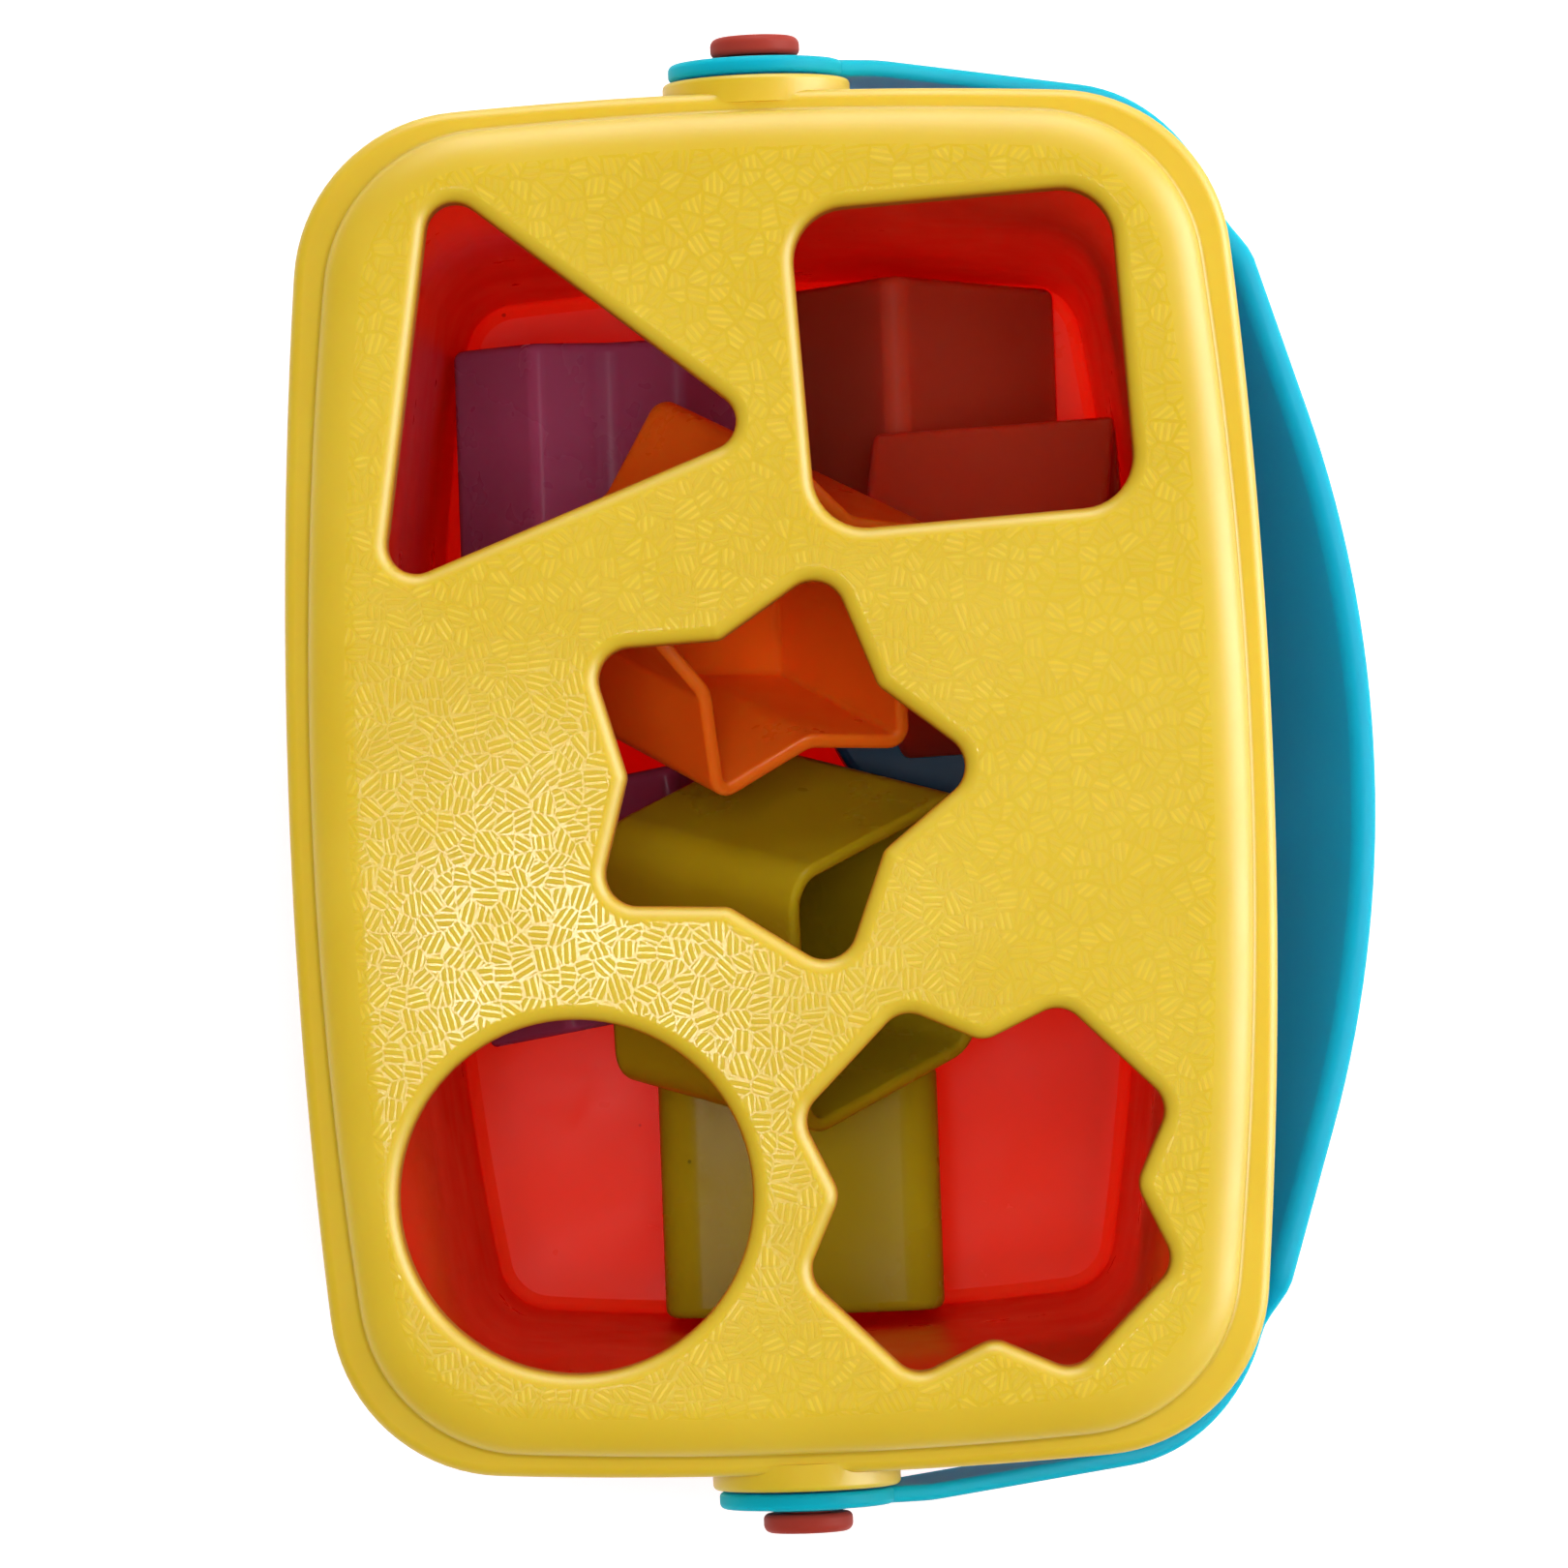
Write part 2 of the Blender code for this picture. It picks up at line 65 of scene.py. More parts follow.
# Lid. Outlines are (half width, half length, long side's bow radius, short side's bow radius, corner).
LID_THICKNESS = 2.5 * MM
LID_EDGE_WIDTH = 6.4 * MM
LID_EDGE_HEIGHT = 3.6 * MM
FLANGE_TOP = 127.7 * MM
FLANGE_UNDERSIDE = 125.3 * MM
FLANGE_ROUND = 1.5 * MM
PLATEAU_FOOT = 0.7 * MM
SKIRT_BEVEL = (0.3 * MM, 0.4 * MM)
SKIRT_BOTTOM = 118.5 * MM
SKIRT_WALL = 1.4 * MM
PLUG_BOTTOM = 121.0 * MM
PLUG_WALL = 1.5 * MM
FLANGE_OUTLINE = (64.6 * MM, 90.7 * MM, 750 * MM, 660 * MM, 23 * MM)
PLATEAU_OUTLINE = (61.4 * MM, 87.8 * MM, 560 * MM, 550 * MM, 22 * MM)
PLUG_OUTLINE = (59.9 * MM, 85.9 * MM, 620 * MM, 600 * MM, 20 * MM)

# Holes: centre and turn on the lid, then the size of each sharp-cornered shape and its fillets.
HOLE_EDGE_ROUND = 2.1 * MM
COLLAR_WALL = 1.8 * MM
COLLAR_BOTTOM = 127.5 * MM
HOLES = {
    "triangle": (Vector((-31.4, 51.1)) * MM, math.radians(-9)),
    "square": (Vector((25.9, 54.4)) * MM, math.radians(3)),
    "star": (Vector((-1.6, 1.3)) * MM, 0.0),
    "circle": (Vector((-28.6, -53.2)) * MM, 0.0),
    "cross": (Vector((25.2, -54.2)) * MM, 0.0),
}
TRIANGLE_SIDE = 54.4 * MM
TRIANGLE_FILLET = 3.8 * MM
SQUARE_SIDE = 42.0 * MM
SQUARE_FILLET = 7.0 * MM
STAR_TIP = 28.3 * MM
STAR_NOTCH = 18.3 * MM
STAR_TIP_FILLET = 4.2 * MM
STAR_NOTCH_FILLET = 2.4 * MM
CIRCLE_RADIUS = 23.1 * MM
CROSS_LOBE = 26.3 * MM
CROSS_LOBE_TURN = math.radians(23.5)
CROSS_NOTCH = 19.3 * MM
CROSS_LOBE_FILLET = 4.0 * MM
CROSS_NOTCH_FILLET = 3.8 * MM

# Tub: inner profile as (z, half width, half length, long bow, short bow, corner), floor to rim.
TUB_WALL = 2.0 * MM
TUB_PROFILE = (
    (2.5, 48.2, 72.4, 385, 400, 6.0),
    (3.2, 49.6, 73.9, 385, 400, 7.4),
    (5.0, 50.3, 74.6, 385, 400, 8.0),
    (84.0, 51.6, 76.2, 400, 420, 9.5),
    (98.0, 52.4, 77.2, 420, 440, 10.5),
    (107.0, 54.6, 79.8, 480, 500, 13.0),
    (114.5, 58.2, 83.6, 580, 580, 17.0),
    (119.5, 60.5, 86.3, 650, 620, 19.5),
    (125.0, 60.9, 86.9, 660, 630, 20.0),
)

# The tub's underside: (distance inside the floor's outline, height), from the wall to the recessed middle.
TUB_FOOT = ((-0.8 * MM, 0.5 * MM), (0.0, 0.0), (3 * MM, 0.0), (3.6 * MM, 0.6 * MM))

# Pivots, the handle's hubs and the pins along +Y and -Y.
EAR_RADIUS = 12.4 * MM
EAR_INNER = 89.3 * MM
EAR_OUTER = 92.9 * MM
HUB_RADIUS = 11.6 * MM
HUB_INNER = 93.2 * MM
HUB_OUTER = 95.4 * MM
BOSS_RADIUS = 5.35 * MM
BOSS_OUTER = 95.9 * MM
PIN_BORE_RADIUS = 3.3 * MM
PIN_RADIUS = 3.0 * MM
PIN_HEAD_RADIUS = 5.9 * MM
PIN_HEAD_INNER = 96.2 * MM
PIN_HEAD_OUTER = 98.8 * MM
PIN_HEAD_ROUND = 1.1 * MM
PIN_SNAP_RADIUS = 4.2 * MM
PIN_SNAP_OUTER = 90.3 * MM
PIN_END = 89.5 * MM
SNAP_RECESS_RADIUS = 4.8 * MM
SNAP_RECESS_OUTER = 90.6 * MM
EAR_ROUND = 0.7 * MM
HUB_INNER_ROUND = 0.6 * MM
HUB_OUTER_ROUND = 0.8 * MM
BOSS_HOLLOW = 0.3 * MM
BOSS_BEVEL = 0.1 * MM
PIN_HEAD_INNER_ROUND = 0.8 * MM
PIN_DISH_RADIUS = 3.2 * MM
PIN_DISH_DEPTH = 0.3 * MM
PIN_SNAP_EDGE = 0.3 * MM
CUT_PAST = 1 * MM

# Handle: an arch in its own plane, u away from the pivots and v along Y, hanging below the horizontal.
HANDLE_HANG = math.radians(30)
HANDLE_ARM_START = (4.0 * MM, 95.3 * MM)
HANDLE_ARM_BEND = (15.0 * MM, 95.4 * MM)
HANDLE_SHOULDER = (61.8 * MM, 91.2 * MM)
HANDLE_PEAK = 95.7 * MM
ARM_FILLET = 30 * MM
SHOULDER_FILLET = 25 * MM
PEAK_FILLET = 140 * MM
ARM_THICKNESS = 2.2 * MM
GRIP_THICKNESS = 3.8 * MM
ARM_WIDTH = 15 * MM
GRIP_WIDTH = 24 * MM
GRIP_STARTS = 76 * MM
GRIP_FULL = 69 * MM
BAND_EDGE_SHARE = 0.40
HANDLE_STEP = 1.6 * MM

# Blocks: shape, the way the open end faces and the way the first tip or side points.
BLOCK_DEPTH = 34.0 * MM
BLOCK_WALL = 2.0 * MM
BLOCK_ROUND = 1.5 * MM
BLOCK_FLOOR_ROUND = 1.2 * MM
BLOCK_LIP = 0.85 * MM
BLOCK_CLEARANCE = 1.4 * MM
BLOCKS = {
    "block_square_a": ("square", (0, 1, 0), (1, 0, 0)),
    "block_square_b": ("square", (0.776, -0.236, 0.585), (0.631, 0.313, -0.710)),
    "block_cross_a": ("cross", (0, -1, 0), (1, 0, 0)),
    "block_cross_b": ("cross", (0.16, -1, 0), (1, 0.16, 0)),
    "block_star": ("star", (0.497, -0.300, 0.814), (-0.466, -0.884, -0.041)),
    "block_triangle_a": ("triangle", (0, -1, 0), (0, 0, 1)),
    "block_triangle_b": ("triangle", (1, 0.03, 0.14), (-0.14, -0.2, 1)),
    "block_circle": ("circle", (0, 0, -1), (1, 0, 0)),
}
BLOCK_SLOTS = {
    "square": "square_green",
    "cross": "cross_purple",
    "star": "star_orange",
    "triangle": "triangle_red",
    "circle": "circle_blue",
}

# The lid's moulded texture: groups of bars per metre and the distance from bar to bar.
GRAIN_GROUPS = 400.0
GRAIN_PITCH = 0.92 * MM
GRAIN_DEPTH = 0.022 * MM
VALLEY_ROUGHNESS = 0.12

# All the plastics: how deep their faint ripples go, and how strongly they bend light.
RIPPLE_DEPTH = 0.06 * MM
PLASTIC_IOR = 1.48

# Painted shade: the holes' steep inner edges are painted a darker orange, standing in for shade and for red
# light thrown up from the tub. A rectangle round all the holes, with its corners cut off where |x| + |y|
# passes
# HOLES_CORNER_CUT, tells them from the lid's rim.
HOLE_EDGE_PAINTED_SHADE = (0.60, 0.20, 0.006)
HOLES_HALF_WIDTH = 55 * MM
HOLES_HALF_LENGTH = 81 * MM
HOLES_CORNER_CUT = 126 * MM

# Camera: it looks almost straight down, with the toy turned a little anticlockwise in the picture.
CAMERA_PLACE = Vector((12.0, -22.0, 1334.0)) * MM
CAMERA_CENTRE = Vector((0.5, -0.4, 134.0)) * MM
CAMERA_LENS = 211.6
CAMERA_SENSOR = 36.0
PICTURE_TURN = math.radians(2.1)

# Lights: name, place, what it faces, size, watts, and whether it gives diffuse light or only reflections.
ROOM_LIGHT = 0.20
LID_MIDDLE = (0, 0, 0.1)
RIGHT = (1.25, 0.2, 0.55)
BACK = (0.15, 1.25, 0.5)
GLINT = (-0.068, -0.034, 1.33)
LIGHTS = (
    ("overhead", (0.0, 0.0, 1.60), LID_MIDDLE, (0.6, 0.6), 15.0, "diffuse"),
    ("panel right", RIGHT, LID_MIDDLE, (1.4, 1.1), 10, "diffuse"),
    ("panel back", BACK, LID_MIDDLE, (1.3, 1.0), 6, "diffuse"),
    ("gleam right", RIGHT, LID_MIDDLE, (1.4, 1.1), 60, "reflections"),
    ("gleam back", BACK, LID_MIDDLE, (1.3, 1.0), 32, "reflections"),
    ("near camera", GLINT, (-0.025, -0.035, 0.13), (0.11, 0.08), 0.62, "reflections"),
)

# The floor: half its side, and how far it lies under the tub so that the two don't touch.
FLOOR_HALF = 6.0
FLOOR_DROP = 0.2 * MM


# ---------------------------------------------------------------- outlines and solids


def rounded(corners, fillets, steps):
    """A closed outline with each sharp corner replaced by an arc of its fillet radius."""
    outline = []
    count = len(corners)
    for i, corner in enumerate(corners):
        before = (corners[i - 1] - corner).normalized()
        after = (corners[(i + 1) % count] - corner).normalized()
        half_angle = before.angle(after) / 2
        reach = fillets[i] / math.tan(half_angle)
        start = corner + before * reach
        end = corner + after * reach
        centre = corner + (before + after).normalized() * (fillets[i] / math.sin(half_angle))
        sweep = (start - centre).angle_signed(end - centre)
        for step in range(steps + 1):
            outline.append(centre + Matrix.Rotation(-sweep * step / steps, 2) @ (start - centre))
    return outline


def offset_corners(corners, grow):
    """The sharp corners of the polygon whose sides lie `grow` further out. Corners run anticlockwise."""
    moved = []
    count = len(corners)
    for i, corner in enumerate(corners):
        before = (corner - corners[i - 1]).normalized()
        after = (corners[(i + 1) % count] - corner).normalized()
        out_before = Vector((before.y, -before.x))
        out_after = Vector((after.y, -after.x))
        middle = (out_before + out_after).normalized()
        moved.append(corner + middle * (grow / middle.dot(out_before)))
    return moved


def polar(radius, angle):
    return Vector((radius * math.cos(angle), radius * math.sin(angle)))


def shape_outline(shape, grow=0.0, steps=10):
    """A hole's outline about its own centre, grown outwards. Blocks use the same shapes, shrunk."""
    if shape == "circle":
        return [polar(CIRCLE_RADIUS + grow, math.tau * i / 96) for i in range(96)]
    if shape == "triangle":
        corners = [polar(TRIANGLE_SIDE / math.sqrt(3), math.tau * i / 3) for i in range(3)]
        fillets = [TRIANGLE_FILLET] * 3
        hollow = [False] * 3
    elif shape == "square":
        corners = [polar(SQUARE_SIDE / math.sqrt(2), math.pi / 4 + math.tau * i / 4) for i in range(4)]
        fillets = [SQUARE_FILLET] * 4
        hollow = [False] * 4
    elif shape == "star":
        corners, fillets, hollow = [], [], []
        for i in range(5):
            corners += [polar(STAR_TIP, math.tau * i / 5), polar(STAR_NOTCH, math.tau * (i + 0.5) / 5)]
            fillets += [STAR_TIP_FILLET, STAR_NOTCH_FILLET]
            hollow += [False, True]
    else:
        corners, fillets, hollow = [], [], []
        for i in range(4):
            axis = math.tau * i / 4
            corners += [
                polar(CROSS_LOBE, axis - CROSS_LOBE_TURN),
                polar(CROSS_NOTCH, axis),
                polar(CROSS_LOBE, axis + CROSS_LOBE_TURN),
            ]
            fillets += [CROSS_LOBE_FILLET, CROSS_NOTCH_FILLET, CROSS_LOBE_FILLET]
            hollow += [False, True, False]
    radii = [max(r - grow if inward else r + grow, 0.3 * MM) for r, inward in zip(fillets, hollow)]
    return rounded(offset_corners(corners, grow), radii, steps)


def bowed_rectangle(half_x, half_y, bow_x, bow_y, corner, side_steps=20, corner_steps=18):
    """A rectangle whose sides are shallow arcs, with corner arcs tangent to them, from +X anticlockwise."""
    centre_x = Vector((half_x - bow_x, 0))
    centre_y = Vector((0, half_y - bow_y))
    reach_x = bow_x - corner
    reach_y = bow_y - corner
    between = centre_y - centre_x
    gap = between.length
    along = (reach_x**2 - reach_y**2 + gap**2) / (2 * gap)
    across = math.sqrt(reach_x**2 - along**2)
    unit = between.normalized()
    hub = centre_x + unit * along + Vector((-unit.y, unit.x)) * across
    angle_x = math.atan2(hub.y, hub.x - centre_x.x)
    angle_y = math.atan2(hub.y - centre_y.y, hub.x)
    quarter = [centre_x + polar(bow_x, angle_x * i / side_steps) for i in range(side_steps)]
    for i in range(corner_steps + 1):
        quarter.append(hub + polar(corner, angle_x + (angle_y - angle_x) * i / corner_steps))
    for i in range(1, side_steps + 1):
        quarter.append(centre_y + polar(bow_y, angle_y + (math.pi / 2 - angle_y) * i / side_steps))
    outline = list(quarter)
    outline += [Vector((-p.x, p.y)) for p in reversed(quarter[:-1])]
    outline += [Vector((-p.x, -p.y)) for p in quarter[1:]]
    outline += [Vector((p.x, -p.y)) for p in reversed(quarter[1:-1])]
    return outline


def inset(outline, distance):
    """The same bowed rectangle, `distance` smaller all round."""
    half_x, half_y, bow_x, bow_y, corner = outline
    return (half_x - distance, half_y - distance, bow_x - distance, bow_y - distance, corner - distance)


def ring(outline, height):
    return [Vector((p.x, p.y, height)) for p in outline]


def loft(rings):
    """A closed solid through rings of equal counts, capped at both ends."""
    bm = bmesh.new()
    rows = [[bm.verts.new(point) for point in points] for points in rings]
    count = len(rows[0])
    for low, high in zip(rows, rows[1:]):
        for i in range(count):
            j = (i + 1) % count
            bm.faces.new((low[i], low[j], high[j], high[i]))
    bm.faces.new(list(reversed(rows[0])))
    bm.faces.new(rows[-1])
    bmesh.ops.recalc_face_normals(bm, faces=bm.faces)
    return bm


def turned(profile, steps=64):
    """A solid turned about local Z from a profile of (radius, height) points, capped at both ends."""
    rings = []
    for radius, height in profile:
        rings.append([Vector((*polar(radius, math.tau * i / steps), height)) for i in range(steps)])
    return loft(rings)


def arc(centre_radius, centre_height, radius, start, end, steps, squash=1.0):
    """Profile points (distance, height) on an arc, angles in degrees from the outward direction."""
    points = []
    for i in range(steps + 1):
        angle = math.radians(start + (end - start) * i / steps)
        reach = (radius * math.cos(angle), radius * squash * math.sin(angle))
        points.append((centre_radius + reach[0], centre_height + reach[1]))
    return points


def along_y(side, height):
    """Turns local +Z to +Y or -Y, with local z = 0 on the lid's middle plane."""
    return Matrix.Translation((0, 0, height)) @ Matrix.Rotation(math.radians(-90 * side), 4, "X")


def new_object(name, bm):
    mesh = bpy.data.meshes.new(name)
    bm.to_mesh(mesh)
    bm.free()
    obj = bpy.data.objects.new(name, mesh)
    bpy.context.scene.collection.objects.link(obj)
    return obj


def combined(obj, steps):
    """Carries out Booleans on obj, one after another, and removes the solids that took part."""
    for operation, bm in steps:
        other = new_object("cutter", bm)
        modifier = obj.modifiers.new(operation, "BOOLEAN")
        modifier.operation = operation
        modifier.solver = "EXACT"
        modifier.object = other
        graph = bpy.context.evaluated_depsgraph_get()
        mesh = bpy.data.meshes.new_from_object(obj.evaluated_get(graph))
        obj.modifiers.clear()
        old = obj.data
        obj.data = mesh
        bpy.data.meshes.remove(old)
        other_mesh = other.data
        bpy.data.objects.remove(other)
        bpy.data.meshes.remove(other_mesh)
    return obj


def finished(obj, name, body, slot, nodes, angle=35):
    """Smooth shading, material, body and the CAD nodes that the piece stands for."""
    obj.name = name
    obj.data.name = name
    obj.data.shade_smooth()
    obj.data.set_sharp_from_angle(angle=math.radians(angle))
    weighted = obj.modifiers.new("even shading", "WEIGHTED_NORMAL")
    weighted.keep_sharp = True
    weighted.weight = 80
    obj.data.materials.clear()
    obj.data.materials.append(PLASTICS[slot])
    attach(obj, body)
    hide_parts(*nodes)
    return obj


# ---------------------------------------------------------------- materials


class Nodes:
    """Short ways to add nodes to one material."""

    def __init__(self, material):
        self.tree = material.node_tree
        self.place = self.add("ShaderNodeTexCoord").outputs["Object"]

    def add(self, kind, inputs=(), **settings):
        node = self.tree.nodes.new(kind)
        for key, value in settings.items():
            setattr(node, key, value)
        for key, value in dict(inputs).items():
            self.put(node.inputs[key], value)
        return node

    def put(self, socket, value):
        if isinstance(value, bpy.types.NodeSocket):
            self.tree.links.new(value, socket)
        else:
            socket.default_value = value

    def math(self, operation, a, b=0.0):
        return self.add("ShaderNodeMath", {0: a, 1: b}, operation=operation).outputs[0]

    def vector(self, operation, a, b):
        return self.add("ShaderNodeVectorMath", {0: a, 1: b}, operation=operation).outputs["Vector"]

    def scaled(self, a, factor):
        inputs = {0: a, "Scale": factor}
        return self.add("ShaderNodeVectorMath", inputs, operation="SCALE").outputs["Vector"]

    def part(self, vector, axis):
        return self.add("ShaderNodeSeparateXYZ", {"Vector": vector}).outputs[axis]

    def noise(self, scale, detail, rough, where=None):
        inputs = {"Vector": where or self.place, "Scale": scale, "Detail": detail, "Roughness": rough}
        return self.add("ShaderNodeTexNoise", inputs).outputs["Fac"]

    def ramp(self, value, low, high, at_low=0.0, at_high=1.0):
        inputs = {"Value": value, "From Min": low, "From Max": high, "To Min": at_low, "To Max": at_high}
        return self.add("ShaderNodeMapRange", inputs, interpolation_type="SMOOTHSTEP").outputs["Result"]

    def mix(self, share, a, b):
        """Two colours mixed. Inputs 6 and 7 and output 2 are the node's colour sockets."""
        node = self.add("ShaderNodeMix", data_type="RGBA")
        self.put(node.inputs["Factor"], share)
        self.put(node.inputs[6], a)
        self.put(node.inputs[7], b)
        return node.outputs[2]


def scratches(n, scale, width, seed, amount):
    """Thin broken curved scratches: 1 on a scratch. `scale` is per metre, `width` in cells."""
    shifted = n.vector("ADD", n.place, (seed, seed * 0.7, seed * 1.3))
    wander = n.add("ShaderNodeTexNoise", {"Vector": shifted, "Scale": scale * 0.8, "Detail": 2.0})
    bent = n.vector("ADD", shifted, n.scaled(wander.outputs["Color"], 0.9 / scale))
    cells = n.add("ShaderNodeTexVoronoi", {"Vector": bent, "Scale": scale}, feature="DISTANCE_TO_EDGE")
    line = n.ramp(cells.outputs["Distance"], 0.0, width, 1.0, 0.0)
    broken = n.ramp(n.noise(scale * 0.9, 3.0, 0.6, shifted), 1.0 - amount, 1.0 - amount + 0.05)
    return n.math("MULTIPLY", line, broken)


def specks(n, scale, radius, amount):
    """Small round specks scattered one to a cell in a share of the cells: 1 in a speck."""
    cells = n.add("ShaderNodeTexVoronoi", {"Vector": n.place, "Scale": scale, "Randomness": 1.0})
    chosen = n.ramp(n.add("ShaderNodeSeparateColor", {"Color": cells.outputs["Color"]}).outputs["Red"],
                    1.0 - amount, 1.0 - amount + 0.01)
    spot = n.ramp(cells.outputs["Distance"], radius * 0.5, radius, 1.0, 0.0)
    return n.math("MULTIPLY", spot, chosen)


def rice_grain(n):
    """Moulded texture of short bars, side by side in twos and threes, each group turned its own way.

    Returns the bars (1 on a bar, 0 in a valley) and the pale strokes that lie between a group's bars, a
    painted sheen.
    """
    flat = n.vector("MULTIPLY", n.place, (1, 1, 0))
    where = {"Vector": flat, "Scale": GRAIN_GROUPS, "Randomness": 0.9}
    cells = n.add("ShaderNodeTexVoronoi", where, voronoi_dimensions="2D")
    tint = n.add("ShaderNodeSeparateColor", {"Color": cells.outputs["Color"]})
    turn = n.math("MULTIPLY", tint.outputs["Green"], math.tau)
    spread = n.vector("SUBTRACT", flat, cells.outputs["Position"])
    local = n.add("ShaderNodeVectorRotate", {"Vector": spread, "Angle": turn},
                  rotation_type="Z_AXIS").outputs["Vector"]
    across = n.part(local, "Y")
    rows = n.math("ADD", n.math("MULTIPLY", across, 1 / GRAIN_PITCH), tint.outputs["Blue"])
    place_in_row = n.math("ABSOLUTE", n.math("SUBTRACT", rows, n.math("ROUND", rows)))
    bars = n.ramp(place_in_row, 0.20, 0.35, 1.0, 0.0)
    edge = n.add("ShaderNodeTexVoronoi", where, voronoi_dimensions="2D",
                 feature="DISTANCE_TO_EDGE").outputs["Distance"]
    # The pale strokes between the bars are painted sheen: a lighter colour standing in for light caught in
    # the glossy valleys.
    sheen_strokes = n.math("MULTIPLY", n.ramp(edge, 0.07, 0.15), n.math("SUBTRACT", 1.0, bars))
    sheen_strokes = n.math("MULTIPLY", sheen_strokes, n.ramp(tint.outputs["Red"], 0.1, 0.9, 0.2, 1.0))
    return n.math("MULTIPLY", bars, n.ramp(edge, 0.04, 0.11)), sheen_strokes


def upward(n, low, high):
    """0 on steep faces and 1 on level ones, between two values of the face normal's height."""
    normal = n.add("ShaderNodeNewGeometry").outputs["True Normal"]
    return n.ramp(n.part(normal, "Z"), low, high)


def on_lid_top(n):
    """1 on the lid's flat top, fading to 0 where it rolls off to its edge and into the holes."""
    level = upward(n, 0.985, 0.9995)
    high = n.ramp(n.part(n.place, "Z"), LID_TOP - 0.6 * MM, LID_TOP - 0.2 * MM)
    return n.math("MULTIPLY", level, high)


def hole_edge_shade_mask(n):
    """Mask for the painted shade: 1 on the steep inner edges of the holes, which all lie in a rectangle with
    its corners cut off.
    """
    x = n.math("ABSOLUTE", n.part(n.place, "X"))
    y = n.math("ABSOLUTE", n.part(n.place, "Y"))
    inside_x = n.ramp(x, HOLES_HALF_WIDTH, HOLES_HALF_WIDTH + 1 * MM, 1.0, 0.0)
    inside_y = n.ramp(y, HOLES_HALF_LENGTH, HOLES_HALF_LENGTH + 1 * MM, 1.0, 0.0)
    off_corner = n.ramp(n.math("ADD", x, y), HOLES_CORNER_CUT, HOLES_CORNER_CUT + 2 * MM, 1.0, 0.0)
    inside = n.math("MULTIPLY", n.math("MULTIPLY", inside_x, inside_y), off_corner)
    return n.math("MULTIPLY", inside, n.math("SUBTRACT", 1.0, upward(n, 0.05, 0.72)))


def plastic(slot, deep, pale, rough, glow, scuff=0.0, speck=0.0, grain=False, radius=(1.0, 0.3, 0.1),
            shine=0.5, reach=5.0):
    """A moulded plastic: cloudy between two colours, soft light inside it, faint ripples, scuffs and specks.

    `glow` is the share of light that goes into the plastic, `reach` how far it travels there, in
    millimetres, and `radius` how that differs between red, green and blue.
    """
    material = bpy.data.materials.new(slot)
    material.use_nodes = True
    n = Nodes(material)
    shader = material.node_tree.nodes["Principled BSDF"]
    cloud = n.ramp(n.noise(18.0, 3.0, 0.55), 0.35, 0.65)
    colour = n.mix(cloud, (*deep, 1.0), (*pale, 1.0))
    roughness = n.ramp(n.noise(55.0, 4.0, 0.6), 0.3, 0.7, rough - 0.03, rough + 0.05)
    relief = n.math("MULTIPLY", n.noise(60.0, 2.0, 0.5), 0.25)
    relief_depth = RIPPLE_DEPTH
    if scuff:
        fine = scratches(n, 210.0, 0.035, 0.31, scuff)
        wide = scratches(n, 90.0, 0.02, 0.83, scuff * 0.9)
        marks = n.math("MULTIPLY", n.math("MAXIMUM", fine, wide), upward(n, 0.5, 0.9))
        relief = n.math("MULTIPLY", relief, upward(n, 0.4, 0.9))
        worn = n.ramp(n.noise(38.0, 5.0, 0.65), 0.5, 0.72)
        lighter = tuple(min(1.0, c * 1.25 + 0.10) for c in pale)
        colour = n.mix(n.math("MULTIPLY", marks, 0.28), colour, (*lighter, 1.0))
        roughness = n.math("ADD", roughness, n.math("MULTIPLY", worn, 0.10))
        roughness = n.math("ADD", roughness, n.math("MULTIPLY", marks, 0.2))
        relief = n.math("SUBTRACT", relief, n.math("MULTIPLY", marks, 0.3))
    if speck:
        dots = specks(n, 260.0, 0.11, speck)
        dark = tuple(c * 0.25 for c in deep)
        colour = n.mix(n.math("MULTIPLY", dots, 0.75), colour, (*dark, 1.0))
    if grain:
        bars, sheen_strokes = rice_grain(n)
        top = on_lid_top(n)
        relief_depth = GRAIN_DEPTH
        relief = n.math("ADD", n.math("MULTIPLY", relief, 0.6), n.math("MULTIPLY", bars, top))
        # Painted sheen: the strokes between the bars are mixed towards a paler yellow.
        lighter = tuple(min(1.0, c * 1.12 + 0.02) for c in pale)
        colour = n.mix(n.math("MULTIPLY", n.math("MULTIPLY", sheen_strokes, top), 0.8), colour, (*lighter, 1.0))
        # Painted shade: the holes' steep inner edges are mixed towards a darker orange that stands in for
        # shade and red bounce light.
        colour = n.mix(n.math("MULTIPLY", hole_edge_shade_mask(n), 0.9), colour, (*HOLE_EDGE_PAINTED_SHADE, 1.0))
        valley = n.math("MULTIPLY", n.math("SUBTRACT", 1.0, bars), top)
        roughness = n.math("SUBTRACT", roughness, n.math("MULTIPLY", valley, rough - VALLEY_ROUGHNESS))
    bump = n.add("ShaderNodeBump", {"Height": relief, "Distance": relief_depth, "Strength": 1.0})
    n.put(shader.inputs["Base Color"], colour)
    n.put(shader.inputs["Roughness"], roughness)
    n.put(shader.inputs["Normal"], bump.outputs["Normal"])
    shader.inputs["IOR"].default_value = PLASTIC_IOR
    shader.inputs["Subsurface Weight"].default_value = glow
    shader.inputs["Subsurface Radius"].default_value = radius
    shader.inputs["Subsurface Scale"].default_value = reach * MM
    shader.inputs["Specular IOR Level"].default_value = shine
    return material


